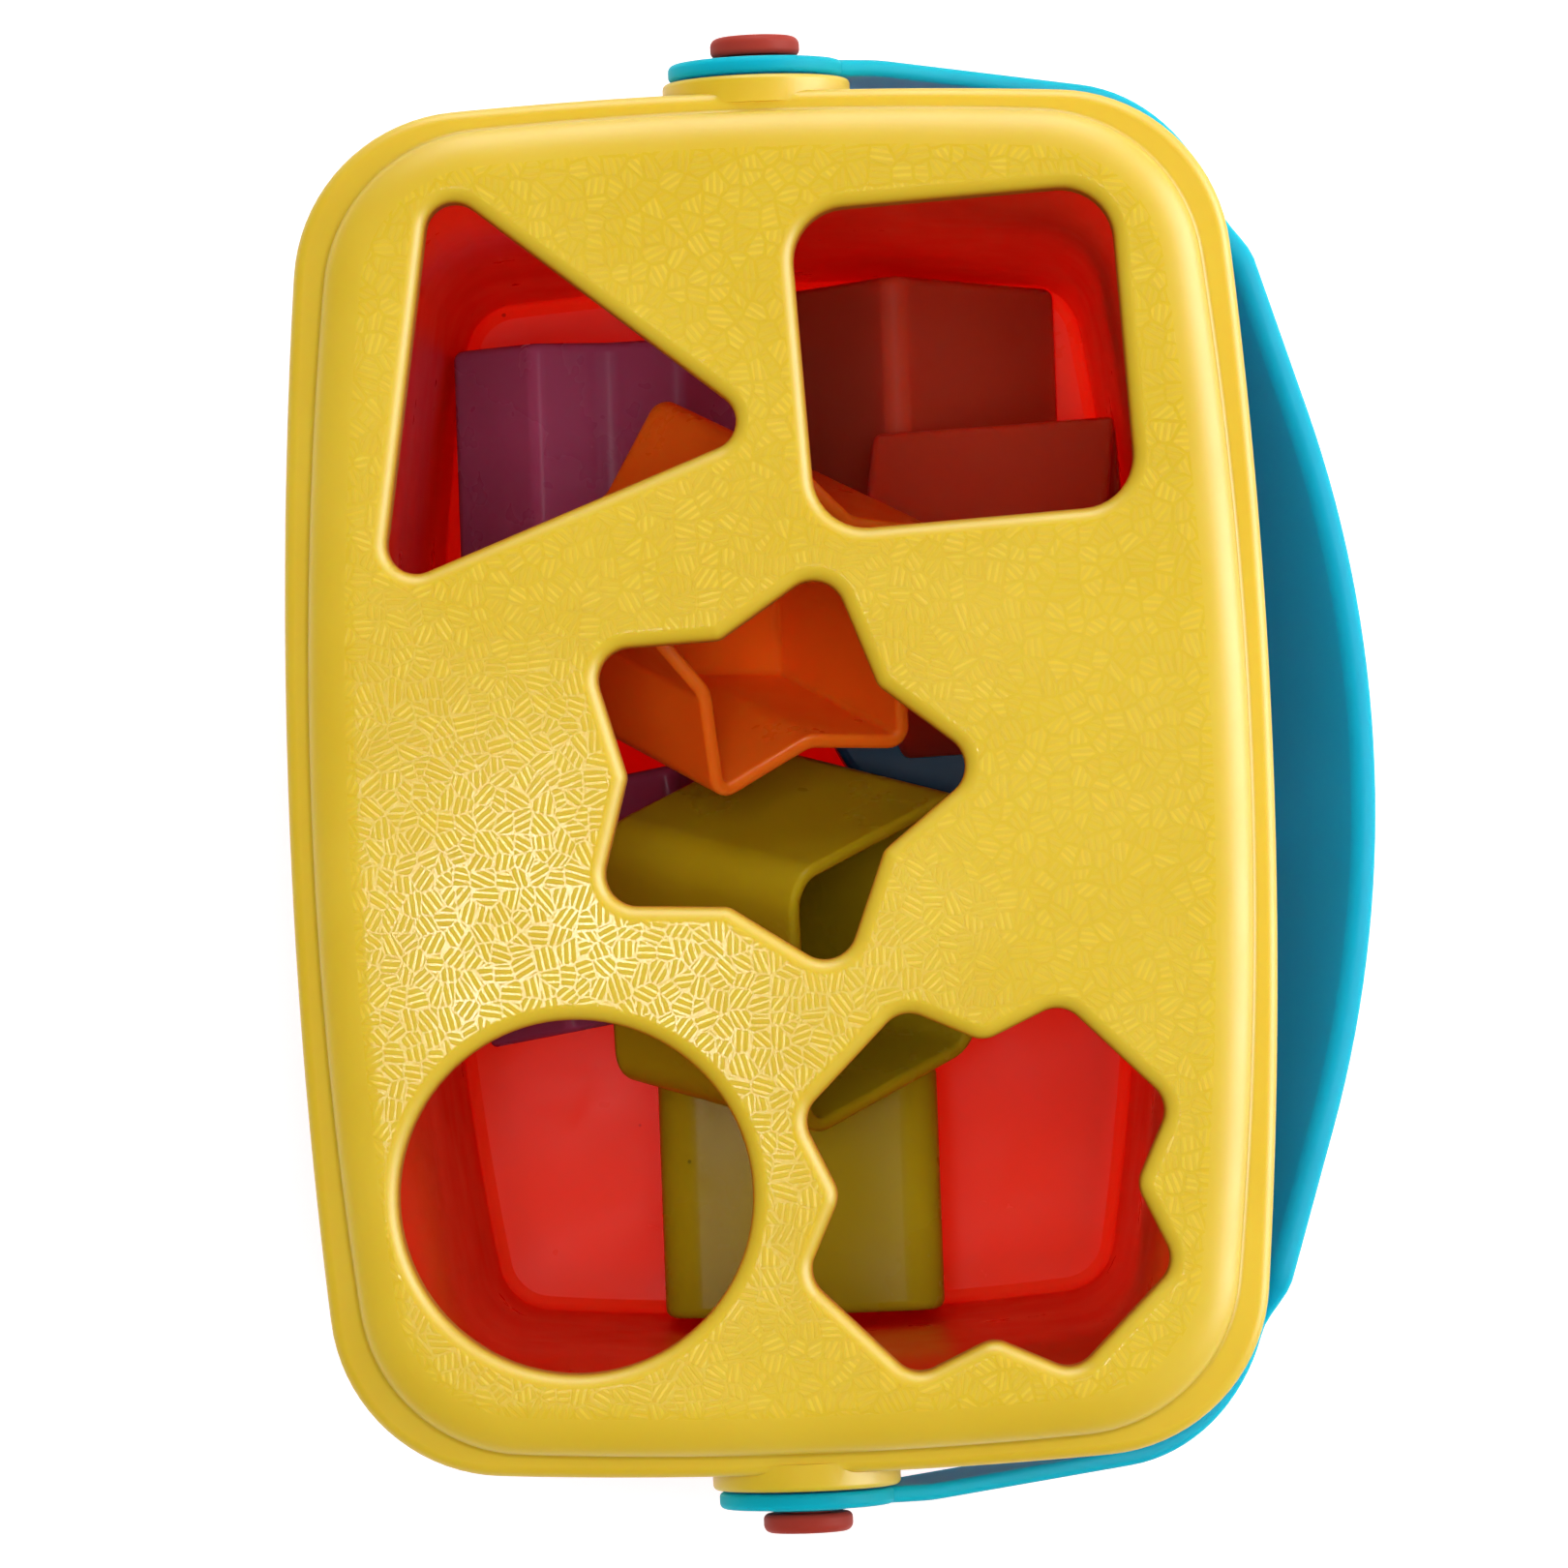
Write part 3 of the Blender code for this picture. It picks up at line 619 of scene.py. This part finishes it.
PLASTICS = {
    "lid_yellow": plastic("lid_yellow", (0.70, 0.475, 0.020), (0.74, 0.515, 0.031), 0.42, 0.45, grain=True,
                          radius=(1.0, 0.50, 0.06), shine=0.42),
    "tub_red": plastic("tub_red", (0.72, 0.045, 0.012), (0.77, 0.055, 0.017), 0.30, 0.9, scuff=0.32,
                       speck=0.10, shine=0.22, reach=9.0, radius=(1.0, 0.18, 0.07)),
    "handle_blue": plastic("handle_blue", (0.004, 0.34, 0.46), (0.006, 0.38, 0.50), 0.50, 0.9,
                           radius=(0.05, 0.8, 1.0), shine=0.05, reach=10.0),
    "pin_red": plastic("pin_red", (0.36, 0.040, 0.026), (0.41, 0.048, 0.031), 0.45, 0.3, shine=0.05),
    "square_green": plastic("square_green", (0.42, 0.29, 0.005), (0.47, 0.34, 0.009), 0.28, 0.6, scuff=0.3,
                            speck=0.05, radius=(0.8, 1.0, 0.1), shine=0.22, reach=7.0),
    "cross_purple": plastic("cross_purple", (0.33, 0.055, 0.12), (0.38, 0.065, 0.145), 0.26, 0.6,
                            radius=(1.0, 0.2, 0.5), shine=0.45, reach=6.0),
    "star_orange": plastic("star_orange", (0.98, 0.13, 0.006), (1.0, 0.16, 0.010), 0.30, 0.8, scuff=0.25,
                           shine=0.4, reach=7.0, radius=(1.0, 0.35, 0.1)),
    "triangle_red": plastic("triangle_red", (1.0, 0.046, 0.022), (1.0, 0.055, 0.027), 0.36, 1.0, scuff=0.15,
                            shine=0.3, radius=(1.0, 0.12, 0.05), reach=22.0),
    "circle_blue": plastic("circle_blue", (0.005, 0.07, 0.16), (0.008, 0.09, 0.19), 0.32, 0.5, scuff=0.1,
                           radius=(0.1, 0.5, 1.0), shine=0.3),
}


# ---------------------------------------------------------------- the pieces


def placed(outline, shape):
    centre, turn = HOLES[shape]
    spin = Matrix.Rotation(turn, 2)
    return [centre + spin @ point for point in outline]


def hole_cutter(shape):
    """A hole with a rounded upper edge, running right through the plate and its collar."""
    edge = HOLE_EDGE_ROUND
    rings = [ring(placed(shape_outline(shape), shape), COLLAR_BOTTOM - CUT_PAST)]
    for distance, height in arc(edge, LID_TOP - edge, -edge, 0, -90, 9):
        rings.append(ring(placed(shape_outline(shape, distance), shape), height))
    rings.append(ring(placed(shape_outline(shape, edge), shape), LID_TOP + CUT_PAST))
    return loft(rings)


def hole_collar(shape):
    outline = placed(shape_outline(shape, COLLAR_WALL), shape)
    return loft([ring(outline, COLLAR_BOTTOM), ring(outline, LID_TOP - LID_THICKNESS / 2)])


def lid_shell():
    """The lid without ears or holes: skirt, flange, raised plateau and the plug ring underneath."""
    rings = [
        ring(bowed_rectangle(*inset(FLANGE_OUTLINE, SKIRT_BEVEL[0])), SKIRT_BOTTOM),
        ring(bowed_rectangle(*FLANGE_OUTLINE), SKIRT_BOTTOM + SKIRT_BEVEL[1]),
    ]
    for distance, height in arc(-FLANGE_ROUND, FLANGE_TOP - FLANGE_ROUND, FLANGE_ROUND, 0, 90, 8):
        rings.append(ring(bowed_rectangle(*inset(FLANGE_OUTLINE, -distance)), height))
    for distance, height in arc(PLATEAU_FOOT, FLANGE_TOP + PLATEAU_FOOT, PLATEAU_FOOT, 270, 180, 4):
        rings.append(ring(bowed_rectangle(*inset(PLATEAU_OUTLINE, -distance)), height))
    squash = LID_EDGE_HEIGHT / LID_EDGE_WIDTH
    edge_foot = LID_TOP - LID_EDGE_HEIGHT
    for distance, height in arc(-LID_EDGE_WIDTH, edge_foot, LID_EDGE_WIDTH, 0, 90, 14, squash):
        rings.append(ring(bowed_rectangle(*inset(PLATEAU_OUTLINE, -distance)), height))
    plug_inner = inset(PLUG_OUTLINE, PLUG_WALL)
    skirt_inner = inset(FLANGE_OUTLINE, SKIRT_WALL)
    under = (
        (inset(plug_inner, 2 * MM), LID_TOP - LID_THICKNESS),
        (inset(plug_inner, 0.6 * MM), LID_TOP - LID_THICKNESS - 0.6 * MM),
        (plug_inner, LID_TOP - LID_THICKNESS - 2 * MM),
        (plug_inner, PLUG_BOTTOM),
        (PLUG_OUTLINE, PLUG_BOTTOM),
        (PLUG_OUTLINE, FLANGE_UNDERSIDE),
        (skirt_inner, FLANGE_UNDERSIDE),
        (skirt_inner, SKIRT_BOTTOM),
    )
    inner = [ring(bowed_rectangle(*outline), height) for outline, height in reversed(under)]
    return loft(list(reversed(inner)) + rings)


def build_lid():
    lid = new_object("lid", lid_shell())
    steps = [("UNION", hole_collar(shape)) for shape in HOLES]
    for side in (1, -1):
        edge = arc(EAR_RADIUS - EAR_ROUND, EAR_OUTER - EAR_ROUND, EAR_ROUND, 0, 90, 5)
        ear = turned([(EAR_RADIUS, EAR_INNER)] + edge, 72)
        ear.transform(along_y(side, PIVOT_HEIGHT))
        steps.append(("UNION", ear))
    steps += [("DIFFERENCE", hole_cutter(shape)) for shape in HOLES]
    for side in (1, -1):
        bore = turned([(SNAP_RECESS_RADIUS, EAR_INNER - 0.2 * MM), (SNAP_RECESS_RADIUS, SNAP_RECESS_OUTER),
                       (PIN_BORE_RADIUS, SNAP_RECESS_OUTER), (PIN_BORE_RADIUS, EAR_OUTER + CUT_PAST)], 40)
        bore.transform(along_y(side, PIVOT_HEIGHT))
        steps.append(("DIFFERENCE", bore))
    finished(combined(lid, steps), "lid_shell", "lid", "lid_yellow", ["lid"], 40)


def softened(rows, rounds=2, share=0.25):
    """A table of numbers with its bends rounded, by cutting each inner corner; the ends stay."""
    for _ in range(rounds):
        cut = [rows[0]]
        for low, high in zip(rows, rows[1:]):
            cut.append(tuple(a + (b - a) * share for a, b in zip(low, high)))
            cut.append(tuple(b + (a - b) * share for a, b in zip(low, high)))
        rows = cut + [rows[-1]]
    return rows


def build_tub():
    """The tub: a narrow body with nearly upright walls that flares to a wide rim under the lid."""
    inner, outer = [], []
    for height, half_x, half_y, bow_x, bow_y, corner in softened(list(TUB_PROFILE)):
        outline = tuple(value * MM for value in (half_x, half_y, bow_x, bow_y, corner))
        inner.append(ring(bowed_rectangle(*outline), height * MM))
        outer.append(ring(bowed_rectangle(*inset(outline, -TUB_WALL)), height * MM))
    rim = tuple(value * MM for value in TUB_PROFILE[-1][1:])
    top = []
    for distance, height in arc(TUB_WALL / 2, TUB_RIM - TUB_WALL / 2, TUB_WALL / 2, 180, 0, 8):
        top.append(ring(bowed_rectangle(*inset(rim, -distance)), height))
    floor = tuple(value * MM for value in TUB_PROFILE[0][1:])
    foot = [ring(bowed_rectangle(*inset(floor, distance)), height) for distance, height in TUB_FOOT]
    lower = [r for r in reversed(outer) if 3 * MM < r[0].z < TUB_RIM - TUB_WALL / 2]
    inner = [r for r in inner if r[0].z < TUB_RIM - TUB_WALL / 2]
    tub = new_object("tub", loft(inner + top + lower + foot))
    finished(tub, "tub_body", "tub", "tub_red", ["tub"], 50)


def rounded_path(points, fillets, steps):
    """An open path with arcs at its inner corners. `fillets` and `steps` hold one value for each of them."""
    path = [points[0]]
    for i in range(1, len(points) - 1):
        before = (points[i - 1] - points[i]).normalized()
        after = (points[i + 1] - points[i]).normalized()
        half_angle = before.angle(after) / 2
        radius = fillets[i - 1]
        centre = points[i] + (before + after).normalized() * (radius / math.sin(half_angle))
        start = points[i] + before * (radius / math.tan(half_angle)) - centre
        sweep = start.angle_signed(points[i] + after * (radius / math.tan(half_angle)) - centre)
        for step in range(steps[i - 1] + 1):
            path.append(centre + Matrix.Rotation(-sweep * step / steps[i - 1], 2) @ start)
    path.append(points[-1])
    return path


def filled(path, longest):
    """The path with extra points on its long straight stretches."""
    full = [path[0]]
    for start, end in zip(path, path[1:]):
        count = max(1, math.ceil((end - start).length / longest))
        full += [start.lerp(end, i / count) for i in range(1, count + 1)]
    return full


def eased(value, start, end, at_start, at_end):
    share = min(max((value - start) / (end - start), 0), 1)
    share = share * share * (3 - 2 * share)
    return at_start + (at_end - at_start) * share


def handle_section(point, inward):
    """The band's cross-section at one station, with rounded edges: u, v in the arch's plane, width across."""
    side = abs(point.y)
    thickness = eased(side, GRIP_STARTS, GRIP_FULL, ARM_THICKNESS, GRIP_THICKNESS)
    width = eased(side, GRIP_STARTS, GRIP_FULL, ARM_WIDTH, GRIP_WIDTH)
    edge = thickness * BAND_EDGE_SHARE
    points = []
    for depth, across, start in ((thickness - edge, width / 2 - edge, 0), (edge, width / 2 - edge, 90),
                                 (edge, edge - width / 2, 180), (thickness - edge, edge - width / 2, 270)):
        for i in range(6):
            angle = math.radians(start + 90 * i / 5)
            points.append((depth + edge * math.cos(angle), across + edge * math.sin(angle)))
    return [Vector((*(point + inward * depth), across)) for depth, across in points]


def hub_profile():
    """The hub's outer surface and the low boss on it, as (radius, distance from the lid's middle plane)."""
    inner, outer, hollow = HUB_INNER_ROUND, HUB_OUTER_ROUND, BOSS_HOLLOW
    profile = arc(HUB_RADIUS - inner, HUB_INNER + inner, inner, -90, 0, 5)
    profile += arc(HUB_RADIUS - outer, HUB_OUTER - outer, outer, 0, 90, 6)
    profile += arc(BOSS_RADIUS + hollow, HUB_OUTER + hollow, hollow, 270, 180, 3)
    profile += [(BOSS_RADIUS, BOSS_OUTER - BOSS_BEVEL), (BOSS_RADIUS - BOSS_BEVEL, BOSS_OUTER)]
    return profile


def build_handle():
    """The arch, with a round hub and boss at each end."""
    half = [Vector(HANDLE_ARM_START), Vector(HANDLE_ARM_BEND), Vector(HANDLE_SHOULDER)]
    points = half + [Vector((HANDLE_PEAK, 0))] + [Vector((p.x, -p.y)) for p in reversed(half)]
    fillets = [ARM_FILLET, SHOULDER_FILLET, PEAK_FILLET, SHOULDER_FILLET, ARM_FILLET]
    path = filled(rounded_path(points, fillets, [4, 16, 30, 16, 4]), HANDLE_STEP)
    rings = []
    for i, point in enumerate(path):
        ahead = (path[min(i + 1, len(path) - 1)] - path[max(i - 1, 0)]).normalized()
        rings.append(handle_section(point, Vector((ahead.y, -ahead.x))))
    arch = loft(rings)
    arch.transform(Matrix.Translation((0, 0, PIVOT_HEIGHT)) @ Matrix.Rotation(HANDLE_HANG, 4, "Y"))
    handle = new_object("handle", arch)
    steps = []
    for side in (1, -1):
        hub = turned(hub_profile(), 72)
        hub.transform(along_y(side, PIVOT_HEIGHT))
        steps.append(("UNION", hub))
    for side in (1, -1):
        ends = [(PIN_BORE_RADIUS, HUB_INNER - CUT_PAST), (PIN_BORE_RADIUS, BOSS_OUTER + CUT_PAST)]
        bore = turned(ends, 40)
        bore.transform(along_y(side, PIVOT_HEIGHT))
        steps.append(("DIFFERENCE", bore))
    finished(combined(handle, steps), "handle_arch", "handle", "handle_blue", ["handle"], 40)


def build_pins():
    """Two snap pins: a round head outside the hub, a shank through hub and ear, a snap behind the ear."""
    edge = PIN_HEAD_ROUND
    profile = [
        (PIN_RADIUS, PIN_END), (PIN_SNAP_RADIUS, PIN_SNAP_OUTER - PIN_SNAP_EDGE),
        (PIN_SNAP_RADIUS, PIN_SNAP_OUTER), (PIN_RADIUS, PIN_SNAP_OUTER), (PIN_RADIUS, PIN_HEAD_INNER),
    ]
    inner = PIN_HEAD_INNER_ROUND
    profile += arc(PIN_HEAD_RADIUS - inner, PIN_HEAD_INNER + inner, inner, -90, 0, 5)
    profile += arc(PIN_HEAD_RADIUS - edge, PIN_HEAD_OUTER - edge, edge, 0, 90, 8)
    profile += [(PIN_DISH_RADIUS, PIN_HEAD_OUTER),
                (PIN_DISH_RADIUS - PIN_DISH_DEPTH, PIN_HEAD_OUTER - PIN_DISH_DEPTH)]
    for side, node in ((1, "pin_back"), (-1, "pin_front")):
        pin = turned(profile, 64)
        pin.transform(along_y(side, PIVOT_HEIGHT))
        finished(new_object(node, pin), "snap_" + node, "lid", "pin_red", [node])


def block_solid(shape):
    """A hollow block about its own centre, closed at -Z and open at +Z, with a rounded lip."""
    outer = -BLOCK_CLEARANCE
    inner = outer - BLOCK_WALL
    low, high = -BLOCK_DEPTH / 2, BLOCK_DEPTH / 2
    stations = [(outer + distance, low + BLOCK_ROUND - height)
                for distance, height in arc(-BLOCK_ROUND, 0, BLOCK_ROUND, 90, 0, 6)]
    stations += [(outer - BLOCK_LIP + distance, high - BLOCK_LIP + height)
                 for distance, height in arc(0, 0, BLOCK_LIP, 0, 90, 5)]
    stations += [(inner + BLOCK_LIP - distance, high - BLOCK_LIP + height)
                 for distance, height in arc(0, 0, BLOCK_LIP, 90, 0, 5)]
    edge = BLOCK_FLOOR_ROUND
    stations += [(inner - edge + distance, low + BLOCK_WALL + edge - height)
                 for distance, height in arc(0, 0, edge, 0, 90, 5)]
    return loft([ring(shape_outline(shape, grow, 7), height) for grow, height in stations])


def build_blocks():
    for node, (shape, opening, tip) in BLOCKS.items():
        low, high = (Vector(corner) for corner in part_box(node))
        local_z = Vector(opening).normalized()
        local_y = local_z.cross(Vector(tip)).normalized()
        local_x = local_y.cross(local_z)
        bm = block_solid(shape)
        bm.transform(Matrix((local_x, local_y, local_z)).transposed().to_4x4())
        spots = [v.co for v in bm.verts]
        middle = [(min(c[a] for c in spots) + max(c[a] for c in spots)) / 2 for a in range(3)]
        bm.transform(Matrix.Translation((low + high) / 2 - Vector(middle)))
        finished(new_object(node, bm), "hollow_" + node, node, BLOCK_SLOTS[shape], [node], 42)


# ---------------------------------------------------------------- floor, light and camera


def build_stage():
    bm = bmesh.new()
    bmesh.ops.create_grid(bm, x_segments=1, y_segments=1, size=FLOOR_HALF)
    floor = new_object("floor", bm)
    floor.location.z = -FLOOR_DROP
    material = bpy.data.materials.new("floor_white")
    material.use_nodes = True
    shader = material.node_tree.nodes["Principled BSDF"]
    shader.inputs["Base Color"].default_value = (0.92, 0.92, 0.92, 1)
    shader.inputs["Roughness"].default_value = 0.9
    shader.inputs["Specular IOR Level"].default_value = 0.0
    shader.inputs["Emission Color"].default_value = (1, 1, 1, 1)
    shader.inputs["Emission Strength"].default_value = 0.5
    floor.data.materials.append(material)


def soft_light(name, place, target, size, watts, seen_by):
    """An area light of size (width, height), for diffuse light or for reflections only."""
    data = bpy.data.lights.new(name, "AREA")
    data.shape = "RECTANGLE"
    data.size, data.size_y = size
    data.energy = watts
    light = bpy.data.objects.new(name, data)
    light.location = place
    light.rotation_euler = (Vector(target) - Vector(place)).to_track_quat("-Z", "Y").to_euler()
    light.visible_glossy = seen_by == "reflections"
    light.visible_diffuse = seen_by == "diffuse"
    bpy.context.scene.collection.objects.link(light)


def build_lights():
    """A pale room, a square light overhead, a panel to the right and one behind, and a small glint."""
    scene = bpy.context.scene
    scene.world = scene.world or bpy.data.worlds.new("studio")
    scene.world.use_nodes = True
    background = scene.world.node_tree.nodes["Background"]
    background.inputs["Color"].default_value = (1.0, 1.0, 1.0, 1)
    background.inputs["Strength"].default_value = ROOM_LIGHT
    for name, place, target, size, watts, seen_by in LIGHTS:
        soft_light(name, place, target, size, watts, seen_by)


def build_camera():
    data = bpy.data.cameras.new("camera")
    data.lens = CAMERA_LENS
    data.sensor_width = CAMERA_SENSOR
    data.clip_start = 0.05
    data.clip_end = 50
    camera = bpy.data.objects.new("camera", data)
    camera.location = CAMERA_PLACE
    back = (CAMERA_PLACE - CAMERA_CENTRE).normalized()
    up = Matrix.Rotation(-PICTURE_TURN, 3, "Z") @ Vector((0, 1, 0))
    right = up.cross(back).normalized()
    up = back.cross(right)
    camera.rotation_euler = Matrix((right, up, back)).transposed().to_euler()
    bpy.context.scene.collection.objects.link(camera)
    bpy.context.scene.camera = camera
    bpy.context.scene.view_settings.view_transform = "Standard"


build_tub()
build_lid()
build_handle()
build_pins()
build_blocks()
build_stage()
build_lights()
build_camera()
